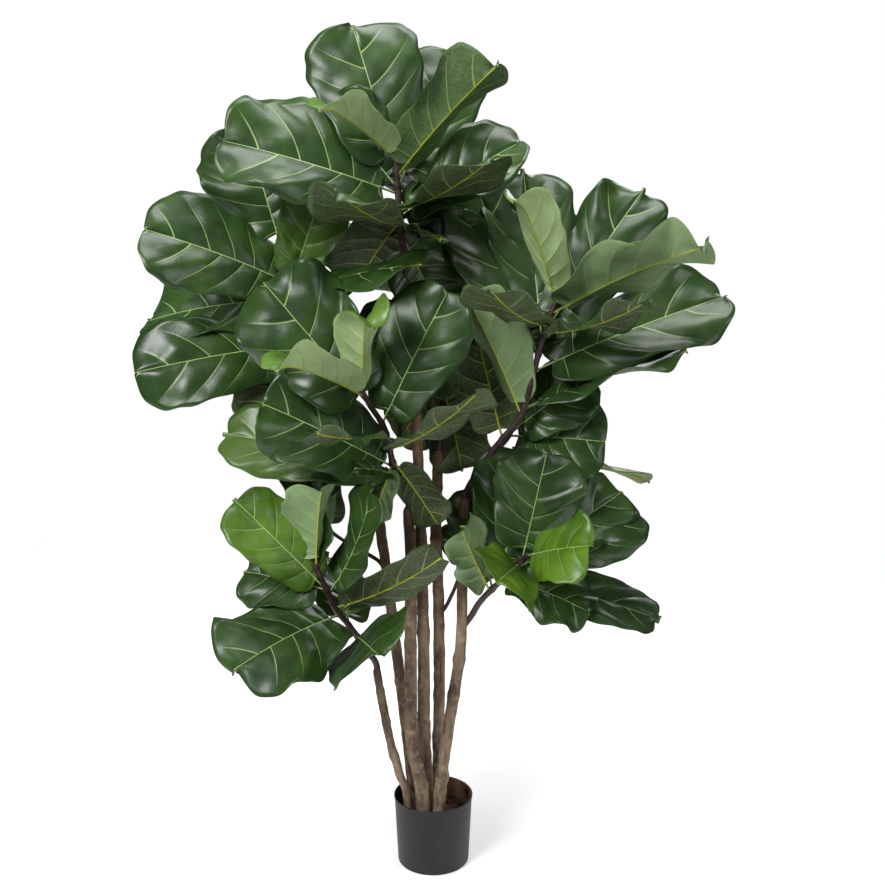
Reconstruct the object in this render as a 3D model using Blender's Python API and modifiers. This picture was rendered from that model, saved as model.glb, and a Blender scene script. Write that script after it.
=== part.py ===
"""A potted fiddle leaf fig: six trunks in a nursery pot, leafy shoots and large lyre-shaped leaves.

Metres, +Z up. The origin is on the floor, on the axis of the pot, and the plant's front faces -Y.
"""

import math

import bmesh
import bpy
from mathutils import Vector

GAP = 0.0003  # clearance left between pieces that touch

POT_HEIGHT = 0.153
POT_BASE_RADIUS = 0.077
POT_RIM_RADIUS = 0.085
POT_WALL = 0.002
POT_FLOOR = 0.003
POT_ROLL = 0.0015  # how far the rolled rim is rounded over
POT_BASE_EDGE = 0.002  # the chamfer round the pot's base
POT_STEPS = 40

# The inside of the pot is a plain cone between these.
INNER_BASE_RADIUS = POT_BASE_RADIUS - POT_WALL - 0.001
INNER_TOP_RADIUS = POT_RIM_RADIUS - POT_WALL - POT_ROLL
INNER_TOP = POT_HEIGHT - 4 * POT_ROLL

FILLER_TOP = 0.108
FILLER_LUMP = 0.003  # how far the filler's surface rises and falls
FILLER_SIDES = 36
FILLER_RINGS = 6

STEM_RADIUS = 0.007
TWIG_RADIUS = 0.0045
STUB = 0.012  # the straight length of a shoot above the bark

BLADE_THICKNESS = 0.0012
PETIOLE_THICKNESS = 0.005
BLADE_COLUMNS = 4  # faces across a blade
SHOOT_TIP = 0.004  # a leaf that grows this near the end of its shoot stands as far above it

# Each trunk: its radius at the foot and at the cut top, then the points of its centre line.
TRUNKS = {
    "trunk_far_left": (0.0100, 0.0080, [
        (-0.046, -0.026, 0.050), (-0.056, -0.030, 0.165), (-0.072, -0.025, 0.210),
        (-0.086, -0.020, 0.260), (-0.097, -0.020, 0.310), (-0.114, -0.020, 0.410),
        (-0.119, -0.020, 0.450)]),
    "trunk_left": (0.0125, 0.0105, [
        (-0.038, 0.030, 0.050), (-0.050, 0.030, 0.200), (-0.062, 0.025, 0.330),
        (-0.072, 0.020, 0.420), (-0.085, 0.022, 0.530), (-0.100, 0.030, 0.660),
        (-0.115, 0.050, 0.760), (-0.128, 0.060, 0.830)]),
    "trunk_front": (0.0150, 0.0115, [
        (-0.018, -0.047, 0.050), (-0.024, -0.045, 0.180), (-0.034, -0.042, 0.240),
        (-0.045, -0.036, 0.300), (-0.047, -0.032, 0.500), (-0.045, -0.024, 0.680),
        (-0.050, -0.020, 0.800)]),
    "trunk_tall": (0.0145, 0.0100, [
        (-0.009, 0.000, 0.050), (-0.013, 0.000, 0.170), (-0.020, 0.000, 0.300),
        (-0.020, 0.000, 0.500), (-0.024, 0.002, 0.700), (-0.030, 0.010, 0.900),
        (-0.037, 0.018, 1.050), (-0.045, 0.020, 1.170)]),
    "trunk_back": (0.0135, 0.0110, [
        (0.010, 0.038, 0.050), (0.011, 0.038, 0.200), (0.013, 0.037, 0.400),
        (0.011, 0.036, 0.600), (0.006, 0.042, 0.750), (0.012, 0.060, 0.900)]),
    "trunk_right": (0.0135, 0.0105, [
        (0.012, -0.045, 0.050), (0.013, -0.045, 0.140), (0.019, -0.045, 0.220),
        (0.031, -0.040, 0.310), (0.044, -0.034, 0.400), (0.058, -0.020, 0.500),
        (0.061, -0.010, 0.620), (0.058, 0.000, 0.720), (0.068, 0.000, 0.815)]),
}

# Each dark shoot that the leaves grow from: the trunk whose cut top it rises out of, if any, its radius,
# then the points of its centre line. A side branch starts clear of the bark that it leaves.
STEMS = {
    "stem_top": ("trunk_tall", STEM_RADIUS, [
        (-0.055, 0.010, 1.280), (-0.063, 0.000, 1.380), (-0.068, 0.000, 1.440),
        (-0.071, 0.000, 1.500)]),
    "stem_left_upper": ("trunk_left", STEM_RADIUS, [
        (-0.160, 0.075, 0.930), (-0.215, 0.090, 1.050), (-0.265, 0.100, 1.130),
        (-0.292, 0.100, 1.220), (-0.312, 0.100, 1.330)]),
    "stem_left_mid": ("trunk_front", STEM_RADIUS, [
        (-0.066, -0.035, 0.850), (-0.078, -0.052, 0.892), (-0.093, -0.090, 0.975),
        (-0.115, -0.110, 1.020), (-0.137, -0.122, 1.060)]),
    "stem_right_upper": ("trunk_right", STEM_RADIUS, [
        (0.087, 0.000, 0.860), (0.109, -0.005, 0.897), (0.143, -0.020, 0.945),
        (0.163, -0.025, 0.970), (0.183, -0.030, 1.007), (0.201, -0.040, 1.080),
        (0.217, -0.050, 1.150), (0.242, -0.060, 1.228)]),
    "stem_right_mid": (None, TWIG_RADIUS, [
        (0.122, 0.010, 0.902), (0.137, 0.028, 0.912), (0.155, 0.034, 0.932),
        (0.168, 0.032, 0.958)]),
    "stem_low_right": (None, STEM_RADIUS, [
        (0.078, -0.015, 0.560), (0.098, -0.030, 0.600), (0.125, -0.058, 0.640),
        (0.160, -0.095, 0.690), (0.192, -0.120, 0.732)]),
    "stem_low_left": ("trunk_far_left", STEM_RADIUS, [
        (-0.135, -0.035, 0.490), (-0.153, -0.050, 0.526), (-0.175, -0.065, 0.565),
        (-0.197, -0.080, 0.602), (-0.222, -0.100, 0.670), (-0.238, -0.110, 0.709)]),
    "stem_back": ("trunk_back", STEM_RADIUS, [
        (0.020, 0.090, 1.000), (0.030, 0.120, 1.100), (0.035, 0.140, 1.200),
        (0.030, 0.150, 1.290)]),
    "twig_left": (None, TWIG_RADIUS, [
        (-0.117, 0.033, 0.670), (-0.150, 0.035, 0.690), (-0.190, 0.032, 0.715),
        (-0.220, 0.030, 0.738)]),
    "twig_right": (None, TWIG_RADIUS, [
        (0.027, 0.034, 0.567), (0.042, 0.028, 0.600), (0.058, 0.030, 0.640),
        (0.078, 0.034, 0.662)]),
}

# The leaves of each shoot. Each has the height of its foot on the shoot, the place of its tip, the width
# of its blade, the way its upper side faces, the fold of its two halves, its arch and the curl of its tip.
LEAVES = {
    "stem_top": [
        (1.475, (-0.158, 0.080, 1.755), 0.230, (0.15, -1.00, 0.15), 6, 0.02, 0),
        (1.500, (-0.200, -0.165, 1.595), 0.120, (0.30, 0.60, 0.75), 34, 0.03, 30),
        (1.468, (0.118, -0.120, 1.660), 0.195, (-0.45, 0.65, 0.60), 22, 0.03, 0),
        (1.445, (0.040, 0.160, 1.705), 0.190, (0.05, -1.00, 0.45), 6, 0.02, 0),
        (1.432, (-0.400, -0.030, 1.530), 0.250, (0.05, -0.75, 0.65), 18, 0.03, 0),
        (1.370, (-0.170, -0.230, 1.440), 0.165, (0.05, 0.20, 1.00), 6, -0.04, 0),
        (1.400, (0.108, -0.200, 1.495), 0.180, (-0.30, 0.30, 1.00), 8, -0.04, 0),
    ],
    "stem_left_upper": [
        (1.328, (-0.385, 0.140, 1.560), 0.240, (0.00, -1.00, 0.30), 8, 0.02, 0),
        (1.250, (-0.570, 0.000, 1.362), 0.210, (0.10, -0.85, 0.50), 10, 0.05, 0),
        (1.225, (-0.025, -0.110, 1.300), 0.150, (0.00, -0.40, 0.90), 8, 0.03, 0),
        (1.125, (-0.605, 0.000, 1.075), 0.190, (0.05, -0.90, 0.40), 8, 0.06, 0),
    ],
    "stem_left_mid": [
        (1.030, (-0.325, -0.080, 1.264), 0.230, (-0.05, -0.95, 0.25), 6, 0.02, 0),
        (1.060, (-0.119, -0.215, 1.235), 0.120, (-0.45, 0.70, 0.45), 40, 0.03, 30),
        (1.052, (-0.280, -0.290, 1.140), 0.130, (0.20, 0.60, 0.80), 38, 0.03, 30),
        (0.990, (0.030, -0.110, 1.249), 0.190, (-0.35, -0.90, 0.25), 12, 0.02, 0),
        (0.895, (-0.331, -0.120, 1.035), 0.190, (0.10, -0.85, 0.50), 10, 0.04, 0),
        (0.968, (-0.205, -0.310, 1.015), 0.140, (0.05, 0.25, 1.00), 6, -0.03, 0),
        (0.935, (0.081, -0.250, 1.075), 0.150, (-0.25, 0.30, 0.90), 6, -0.04, 0),
    ],
    "twig_left": [
        (0.733, (-0.275, 0.000, 0.915), 0.120, (0.10, -0.95, 0.20), 10, 0.02, 0),
    ],
    "stem_low_left": [
        (0.655, (-0.395, -0.130, 0.850), 0.160, (0.30, -0.95, 0.30), 8, 0.03, 0),
        (0.590, (-0.370, -0.280, 0.555), 0.240, (0.05, -0.65, 0.75), 6, 0.05, 0),
        (0.606, (0.031, -0.110, 0.735), 0.150, (0.10, 0.85, 0.50), 8, -0.06, 0),
        (0.532, (-0.100, -0.300, 0.590), 0.210, (-0.65, 0.00, 0.75), 6, 0.03, 0),
    ],
    "stem_right_upper": [
        (1.088, (0.574, -0.020, 1.230), 0.195, (-0.15, -0.75, 0.65), 12, 0.03, 0),
        (1.120, (0.089, 0.060, 1.442), 0.200, (0.10, -0.95, 0.25), 6, 0.02, 0),
        (1.205, (0.490, -0.230, 1.340), 0.170, (-0.25, 0.60, 0.75), 28, 0.03, 0),
        (1.228, (0.159, -0.180, 1.435), 0.130, (0.50, 0.70, 0.40), 38, 0.03, 30),
        (1.175, (0.425, 0.080, 1.435), 0.175, (-0.10, -0.95, 0.30), 6, 0.02, 0),
        (1.178, (0.103, -0.270, 1.269), 0.160, (0.05, 0.20, 1.00), 8, -0.05, 0),
        (1.165, (0.395, -0.230, 1.245), 0.160, (-0.10, 0.20, 1.00), 8, -0.05, 0),
    ],
    "stem_right_mid": [
        (0.940, (0.352, -0.010, 0.935), 0.185, (0.00, -0.85, 0.50), 8, 0.04, 0),
    ],
    "stem_low_right": [
        (0.718, (0.224, -0.105, 0.930), 0.185, (-0.05, -0.97, 0.20), 6, 0.02, 0),
        (0.690, (0.421, -0.040, 0.795), 0.150, (0.10, -0.80, 0.60), 8, 0.04, 0),
        (0.731, (0.305, -0.270, 0.770), 0.150, (0.10, -0.55, 0.80), 8, 0.04, 0),
        (0.705, (0.118, -0.300, 0.725), 0.195, (0.50, -0.30, 0.80), 8, 0.03, 0),
        (0.670, (0.450, -0.120, 0.595), 0.130, (0.10, -0.50, 0.85), 8, 0.04, 0),
    ],
    "stem_back": [
        (1.262, (0.170, 0.400, 1.370), 0.190, (-0.10, 0.50, 0.85), 8, 0.05, 0),
        (1.225, (-0.190, 0.380, 1.330), 0.190, (0.10, 0.50, 0.85), 8, 0.05, 0),
        (1.180, (0.260, 0.360, 1.160), 0.190, (0.10, 0.50, 0.85), 10, 0.06, 0),
        (1.160, (-0.120, 0.420, 1.100), 0.190, (0.00, 0.60, 0.80), 10, 0.06, 0),
        (1.080, (0.100, 0.360, 0.980), 0.180, (0.10, 0.60, 0.80), 10, 0.06, 0),
        (1.288, (0.000, 0.210, 1.550), 0.180, (0.00, 0.90, 0.20), 6, 0.02, 0),
    ],
}

# The blade across half its width, from the foot of the stalk to the tip: where the midrib lies along the
# leaf, where the margin lies along it, and how far out the margin is. Along is in leaf lengths, out in
# half widths.
BLADE = [
    (0.00, 0.00, 0.03), (0.09, 0.085, 0.03), (0.12, 0.08, 0.45), (0.19, 0.20, 0.72), (0.32, 0.37, 0.86),
    (0.48, 0.56, 0.98), (0.66, 0.76, 0.98), (0.86, 0.95, 0.64), (1.00, 1.00, 0.05),
]
CURL_START = 0.72  # along the leaf, where the curl of its tip begins


def remove_everything():
    for obj in list(bpy.data.objects):
        bpy.data.objects.remove(obj, do_unlink=True)


def make_collection(name):
    collection = bpy.data.collections.new(name)
    bpy.context.scene.collection.children.link(collection)
    return collection


def make_material(name, colour, roughness):
    material = bpy.data.materials.new(name)
    material.use_nodes = True
    shader = material.node_tree.nodes["Principled BSDF"]
    shader.inputs["Base Color"].default_value = (*colour, 1.0)
    shader.inputs["Roughness"].default_value = roughness
    shader.inputs["Metallic"].default_value = 0.0
    return material


def add_object(name, data, collection, material):
    obj = bpy.data.objects.new(name, data)
    collection.objects.link(obj)
    if material:
        data.materials.append(material)
    return obj


def tube(name, points, radii, collection, material):
    """A closed tube along the points, with its own radius at each of them."""
    curve = bpy.data.curves.new(name, "CURVE")
    curve.dimensions = "3D"
    curve.bevel_depth = 1.0
    curve.bevel_resolution = 2
    curve.use_fill_caps = True
    spline = curve.splines.new("POLY")
    spline.points.add(len(points) - 1)
    for knot, place, radius in zip(spline.points, points, radii):
        knot.co = (*place, 1.0)
        knot.radius = radius
    return add_object(name, curve, collection, material)


def stem_line(trunk, points):
    """A shoot's centre line, which rises straight out of its trunk's cut top before it turns."""
    if trunk is None:
        return points
    before, top = (Vector(place) for place in TRUNKS[trunk][2][-2:])
    grain = (top - before).normalized()
    return [tuple(top + grain * reach) for reach in (GAP, STUB)] + points


def taper(start, end, count):
    return [start + (end - start) * i / (count - 1) for i in range(count)]


def make_pot(collection, material):
    """The pot's wall and floor, turned from one closed outline with a small rolled rim."""
    outline = [
        (INNER_TOP_RADIUS, POT_HEIGHT), (POT_RIM_RADIUS - POT_ROLL / 2, POT_HEIGHT),
        (POT_RIM_RADIUS, POT_HEIGHT - POT_ROLL), (POT_RIM_RADIUS - POT_ROLL / 2, INNER_TOP),
        (POT_BASE_RADIUS, POT_BASE_EDGE), (POT_BASE_RADIUS - POT_BASE_EDGE, 0.0), (0.0, 0.0),
    ]
    inside = [(0.0, POT_FLOOR), (INNER_BASE_RADIUS, POT_FLOOR), (INNER_TOP_RADIUS, INNER_TOP)]
    profile = bmesh.new()
    knots = [profile.verts.new((r, 0.0, z)) for r, z in outline + inside]
    for i in range(len(outline) - 1):
        profile.edges.new(knots[i:i + 2])
    for i in range(len(outline), len(knots) - 1):
        profile.edges.new(knots[i:i + 2])
    profile.edges.new((knots[-1], knots[0]))
    mesh = bpy.data.meshes.new("pot")
    profile.to_mesh(mesh)
    profile.free()
    pot = add_object("pot", mesh, collection, material)
    screw = pot.modifiers.new("turn", "SCREW")
    screw.steps = screw.render_steps = POT_STEPS
    screw.use_merge_vertices = True
    screw.merge_threshold = 0.00001
    return pot


def make_filler(collection, cutters, material, trunks):
    """The heavy filler that holds the trunks: a plug with an uneven top and a socket for each foot."""
    floor = POT_FLOOR + GAP
    shape = bmesh.new()
    radius = wall_radius(FILLER_TOP) - GAP
    bmesh.ops.create_cone(shape, cap_ends=True, segments=FILLER_SIDES, radius1=wall_radius(floor) - GAP,
                          radius2=radius, depth=FILLER_TOP - floor)
    bmesh.ops.translate(shape, verts=shape.verts, vec=(0.0, 0.0, (FILLER_TOP + floor) / 2))
    top = max(shape.faces, key=lambda face: face.calc_center_median().z)
    for _ in range(1, FILLER_RINGS):
        bmesh.ops.inset_region(shape, faces=[top], thickness=radius / FILLER_RINGS)
    for vert in shape.verts:
        ring = Vector((vert.co.x, vert.co.y)).length
        if vert.co.z > FILLER_TOP - GAP and ring < radius - GAP:
            lump = math.sin(95 * vert.co.x + 1.0) * math.sin(110 * vert.co.y + 0.4)
            vert.co.z += FILLER_LUMP * (lump - 0.3)
    mesh = bpy.data.meshes.new("filler")
    shape.to_mesh(mesh)
    shape.free()
    filler = add_object("filler", mesh, collection, material)
    for name, (foot, _, points) in trunks.items():
        cut = filler.modifiers.new(name, "BOOLEAN")
        cut.operation = "DIFFERENCE"
        cut.solver = "EXACT"
        cut.object = make_socket(name, foot, points, cutters)
    return filler


def wall_radius(height):
    """The radius inside the pot at a height."""
    part = (height - POT_FLOOR) / (INNER_TOP - POT_FLOOR)
    return INNER_BASE_RADIUS + (INNER_TOP_RADIUS - INNER_BASE_RADIUS) * part


def make_socket(name, foot, points, cutters):
    """A cutter that leaves a little room all round the foot of a trunk."""
    first, second = Vector(points[0]), Vector(points[1])
    below = first - (second - first).normalized() * GAP
    curve = tube("socket_" + name, [below, second], [foot + GAP] * 2, cutters, None)
    bpy.context.view_layer.update()
    evaluated = curve.evaluated_get(bpy.context.evaluated_depsgraph_get())
    mesh = bpy.data.meshes.new_from_object(evaluated)
    welded = bmesh.new()
    welded.from_mesh(mesh)
    bmesh.ops.remove_doubles(welded, verts=welded.verts, dist=0.00001)
    bmesh.ops.recalc_face_normals(welded, faces=welded.faces)
    welded.to_mesh(mesh)
    welded.free()
    bpy.data.objects.remove(curve, do_unlink=True)
    socket = add_object("socket_" + name, mesh, cutters, None)
    socket.hide_render = True
    socket.display_type = "WIRE"
    return socket


def point_at_height(points, height):
    """The point of a rising centre line at a height, and its direction there."""
    for low, high in zip(points, points[1:]):
        if height <= high[2] or high is points[-1]:
            low, high = Vector(low), Vector(high)
            part = (height - low.z) / (high.z - low.z)
            return low.lerp(high, min(max(part, 0.0), 1.0)), (high - low).normalized()


def heading(along, arch, curl):
    """The slope angle of the midrib, which turns from its arch into the curl of the tip."""
    part = min(max((along - CURL_START) / (1.0 - CURL_START), 0.0), 1.0)
    return math.atan(4 * arch * (1 - 2 * along)) - math.radians(curl) * part * part * (3 - 2 * part)


def midrib(along, arch, curl):
    """How far the midrib has run and risen at a place along it, in leaf lengths."""
    steps = 24
    run = rise = 0.0
    for i in range(steps):
        angle = heading(along * (i + 0.5) / steps, arch, curl)
        run += math.cos(angle) * along / steps
        rise += math.sin(angle) * along / steps
    return run, rise


def make_leaf(name, stem, row, collection, material):
    height, tip, width, face, fold, arch, curl = row
    trunk, radius, line = STEMS[stem]
    line = stem_line(trunk, line)
    foot, grain = point_at_height(line, height)
    tip = Vector(tip)
    outwards = (tip - foot) - grain * (tip - foot).dot(grain)
    start = foot + outwards.normalized() * (radius + PETIOLE_THICKNESS / 2 + 2 * GAP)
    if height >= line[-1][2] - SHOOT_TIP:
        start += grain * SHOOT_TIP
    length = (tip - start).length
    along = (tip - start).normalized()
    up = Vector(face)
    up = (up - along * up.dot(along)).normalized()
    side = along.cross(up)
    blade = bmesh.new()
    spans = len(BLADE) - 1
    bmesh.ops.create_grid(blade, x_segments=BLADE_COLUMNS, y_segments=spans, size=1.0)
    stalk = blade.verts.layers.deform.verify()
    slope = math.radians(fold)
    for vert in blade.verts:
        s = vert.co.x
        row_number = round((vert.co.y + 1.0) / 2 * spans)
        rib, margin, out = BLADE[row_number]
        place = rib + (margin - rib) * abs(s)
        reach = out * abs(s) * width / 2
        run, rise = midrib(place, arch, curl)
        angle = heading(place, arch, curl)
        lift = reach * math.sin(slope)
        vert[stalk][0] = 1.0 if row_number < 2 else BLADE_THICKNESS / PETIOLE_THICKNESS
        vert.co = (
            start + along * (run * length - math.sin(angle) * lift)
            + up * (rise * length + math.cos(angle) * lift)
            + side * math.copysign(reach * math.cos(slope), s)
        )
    bmesh.ops.recalc_face_normals(blade, faces=blade.faces)
    mesh = bpy.data.meshes.new(name)
    blade.to_mesh(mesh)
    blade.free()
    leaf = add_object(name, mesh, collection, material)
    leaf.vertex_groups.new(name="stalk")
    wall = leaf.modifiers.new("thickness", "SOLIDIFY")
    wall.thickness = PETIOLE_THICKNESS
    wall.offset = 0.0
    wall.vertex_group = "stalk"
    return leaf


def main():
    remove_everything()
    plant = make_collection("potted_fiddle_leaf_fig")
    cutters = make_collection("cutters")
    black = make_material("pot_plastic", (0.045, 0.048, 0.052), 0.5)
    earth = make_material("filler_cement", (0.13, 0.07, 0.045), 0.95)
    bark = make_material("bark", (0.20, 0.14, 0.10), 0.9)
    brown = make_material("stem_bark", (0.03, 0.016, 0.018), 0.7)
    green = make_material("leaf_green", (0.02, 0.075, 0.02), 0.35)
    make_pot(plant, black)
    make_filler(plant, cutters, earth, TRUNKS)
    for name, (foot, top, points) in TRUNKS.items():
        tube(name, points, taper(foot, top, len(points)), plant, bark)
    for name, (trunk, radius, points) in STEMS.items():
        line = stem_line(trunk, points)
        tube(name, line, taper(radius, 0.8 * radius, len(line)), plant, brown)
    for stem, rows in LEAVES.items():
        for number, row in enumerate(rows, 1):
            name = f"leaf_{stem.removeprefix('stem_')}_{number}"
            make_leaf(name, stem, row, plant, green)


main()
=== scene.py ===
# Looks for the potted fiddle leaf fig: its leaves, shoots, barky trunks, pot and filler.
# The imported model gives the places. Metres, +Z up, the plant's front faces -Y.

import math
import random

import bpy
import numpy as np
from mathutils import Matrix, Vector, noise


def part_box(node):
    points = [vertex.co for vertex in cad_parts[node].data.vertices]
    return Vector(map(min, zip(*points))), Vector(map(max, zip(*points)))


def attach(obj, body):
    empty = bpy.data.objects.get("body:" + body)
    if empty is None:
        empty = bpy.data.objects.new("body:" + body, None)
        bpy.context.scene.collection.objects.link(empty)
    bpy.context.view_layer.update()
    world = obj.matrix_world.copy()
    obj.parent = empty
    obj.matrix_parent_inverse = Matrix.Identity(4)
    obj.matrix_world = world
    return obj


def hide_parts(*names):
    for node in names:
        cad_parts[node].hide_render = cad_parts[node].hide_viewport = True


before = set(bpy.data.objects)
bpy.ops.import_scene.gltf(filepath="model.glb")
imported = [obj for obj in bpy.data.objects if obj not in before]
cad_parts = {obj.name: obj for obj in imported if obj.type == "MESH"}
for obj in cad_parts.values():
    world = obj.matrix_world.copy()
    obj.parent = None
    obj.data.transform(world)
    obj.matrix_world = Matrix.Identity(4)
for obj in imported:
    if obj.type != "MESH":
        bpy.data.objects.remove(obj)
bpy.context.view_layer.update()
bpy.ops.object.select_all(action="DESELECT")


# Where the trunks, shoots and leaves grow.

# Each trunk: its radius at the foot and at the cut top, then its centre line.
trunks = {
    "trunk_far_left": (0.0100, 0.0080, [
        (-0.046, -0.026, 0.050), (-0.056, -0.030, 0.165), (-0.072, -0.025, 0.210),
        (-0.086, -0.020, 0.260), (-0.097, -0.020, 0.310), (-0.114, -0.020, 0.410),
        (-0.119, -0.020, 0.450)]),
    "trunk_left": (0.0125, 0.0105, [
        (-0.038, 0.030, 0.050), (-0.050, 0.030, 0.200), (-0.062, 0.025, 0.330),
        (-0.072, 0.020, 0.420), (-0.085, 0.022, 0.530), (-0.100, 0.030, 0.660),
        (-0.115, 0.050, 0.760), (-0.128, 0.060, 0.830)]),
    "trunk_front": (0.0150, 0.0115, [
        (-0.018, -0.047, 0.050), (-0.024, -0.045, 0.180), (-0.034, -0.042, 0.240),
        (-0.045, -0.036, 0.300), (-0.047, -0.032, 0.500), (-0.045, -0.024, 0.680),
        (-0.050, -0.020, 0.800)]),
    "trunk_tall": (0.0145, 0.0100, [
        (-0.009, 0.000, 0.050), (-0.013, 0.000, 0.170), (-0.020, 0.000, 0.300),
        (-0.020, 0.000, 0.500), (-0.024, 0.002, 0.700), (-0.030, 0.010, 0.900),
        (-0.037, 0.018, 1.050), (-0.045, 0.020, 1.170)]),
    "trunk_back": (0.0135, 0.0110, [
        (0.010, 0.038, 0.050), (0.011, 0.038, 0.200), (0.013, 0.037, 0.400),
        (0.011, 0.036, 0.600), (0.006, 0.042, 0.750), (0.012, 0.060, 0.900)]),
    "trunk_right": (0.0135, 0.0105, [
        (0.012, -0.045, 0.050), (0.013, -0.045, 0.140), (0.019, -0.045, 0.220),
        (0.031, -0.040, 0.310), (0.044, -0.034, 0.400), (0.058, -0.020, 0.500),
        (0.061, -0.010, 0.620), (0.058, 0.000, 0.720), (0.068, 0.000, 0.815)]),
}

# Each shoot: what it grows from, out of its top or its side, its radius, then its centre line.
shoots = {
    "stem_top": ("trunk_tall", "top", 0.007, [
        (-0.055, 0.010, 1.280), (-0.063, 0.000, 1.380), (-0.068, 0.000, 1.440),
        (-0.071, 0.000, 1.500)]),
    "stem_left_upper": ("trunk_left", "top", 0.007, [
        (-0.160, 0.075, 0.930), (-0.215, 0.090, 1.050), (-0.265, 0.100, 1.130),
        (-0.292, 0.100, 1.220), (-0.312, 0.100, 1.330)]),
    "stem_left_mid": ("trunk_front", "top", 0.007, [
        (-0.066, -0.035, 0.850), (-0.078, -0.052, 0.892), (-0.093, -0.090, 0.975),
        (-0.115, -0.110, 1.020), (-0.137, -0.122, 1.060)]),
    "stem_right_upper": ("trunk_right", "top", 0.007, [
        (0.087, 0.000, 0.860), (0.109, -0.005, 0.897), (0.143, -0.020, 0.945),
        (0.163, -0.025, 0.970), (0.183, -0.030, 1.007), (0.201, -0.040, 1.080),
        (0.217, -0.050, 1.150), (0.242, -0.060, 1.228)]),
    "stem_right_mid": ("stem_right_upper", "side", 0.0045, [
        (0.122, 0.010, 0.902), (0.137, 0.028, 0.912), (0.155, 0.034, 0.932),
        (0.168, 0.032, 0.958)]),
    "stem_low_right": ("trunk_right", "side", 0.007, [
        (0.078, -0.015, 0.560), (0.098, -0.030, 0.600), (0.125, -0.058, 0.640),
        (0.160, -0.095, 0.690), (0.192, -0.120, 0.732)]),
    "stem_low_left": ("trunk_far_left", "top", 0.007, [
        (-0.135, -0.035, 0.490), (-0.153, -0.050, 0.526), (-0.175, -0.065, 0.565),
        (-0.197, -0.080, 0.602), (-0.222, -0.100, 0.670), (-0.238, -0.110, 0.709)]),
    "stem_back": ("trunk_back", "top", 0.007, [
        (0.020, 0.090, 1.000), (0.030, 0.120, 1.100), (0.035, 0.140, 1.200),
        (0.030, 0.150, 1.290)]),
    "twig_left": ("trunk_left", "side", 0.0045, [
        (-0.117, 0.033, 0.670), (-0.150, 0.035, 0.690), (-0.190, 0.032, 0.715),
        (-0.220, 0.030, 0.738)]),
    "twig_right": ("trunk_back", "side", 0.0045, [
        (0.027, 0.034, 0.567), (0.042, 0.028, 0.600), (0.058, 0.030, 0.640),
        (0.078, 0.034, 0.662)]),
}

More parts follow.
